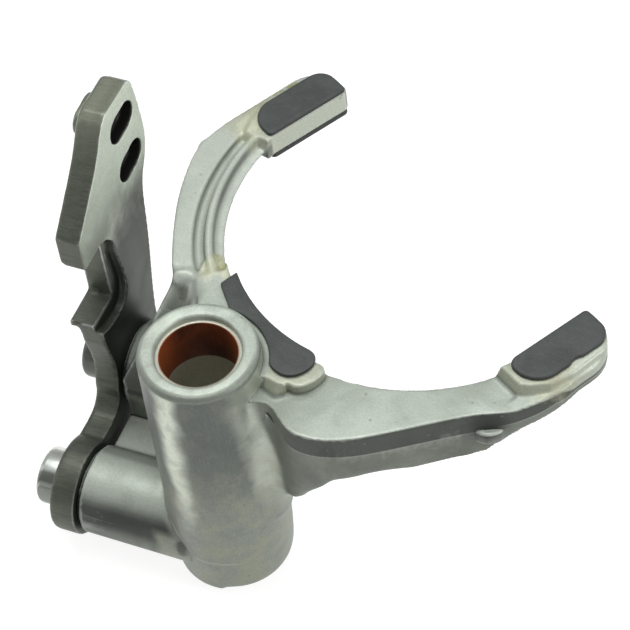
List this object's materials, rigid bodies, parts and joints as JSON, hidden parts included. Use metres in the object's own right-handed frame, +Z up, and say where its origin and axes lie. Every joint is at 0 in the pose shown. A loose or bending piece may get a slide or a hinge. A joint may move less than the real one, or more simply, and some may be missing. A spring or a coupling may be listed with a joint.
{
  "type": "shift fork",
  "caption": "Die-cast gearbox shift fork that slides on a rail, with plastic pads on its tips and saddle and a riveted steel selector plate with an open notch",
  "frame": {"origin": "on the shift rail axis, at the middle plane of the three pads, which is also the middle of the upper bush", "axes": "+Z up the shift rail axis, -X towards the selector plate and square to its faces, +Y completes the frame; the fork opens 58.8 degrees from +X towards +Y"},
  "size_m": [0.1203, 0.0965, 0.0955],
  "materials": {
    "cast_aluminium": "blasted die casting, matte",
    "plate_steel": "dark oiled steel, satin",
    "rivet_steel": "zinc plated",
    "bush_lining": "bronze lining, satin",
    "pad_plastic": "moulded, matte"
  },
  "bodies": {
    "root": {"fork_casting": "cast_aluminium", "selector_plate": "plate_steel", "upper_rivet": "rivet_steel", "lower_rivet": "rivet_steel", "upper_bush": "bush_lining", "lower_bush": "bush_lining", "tip_pad_left": "pad_plastic", "tip_pad_right": "pad_plastic", "saddle_pad": "pad_plastic"}
  },
  "joints": []
}
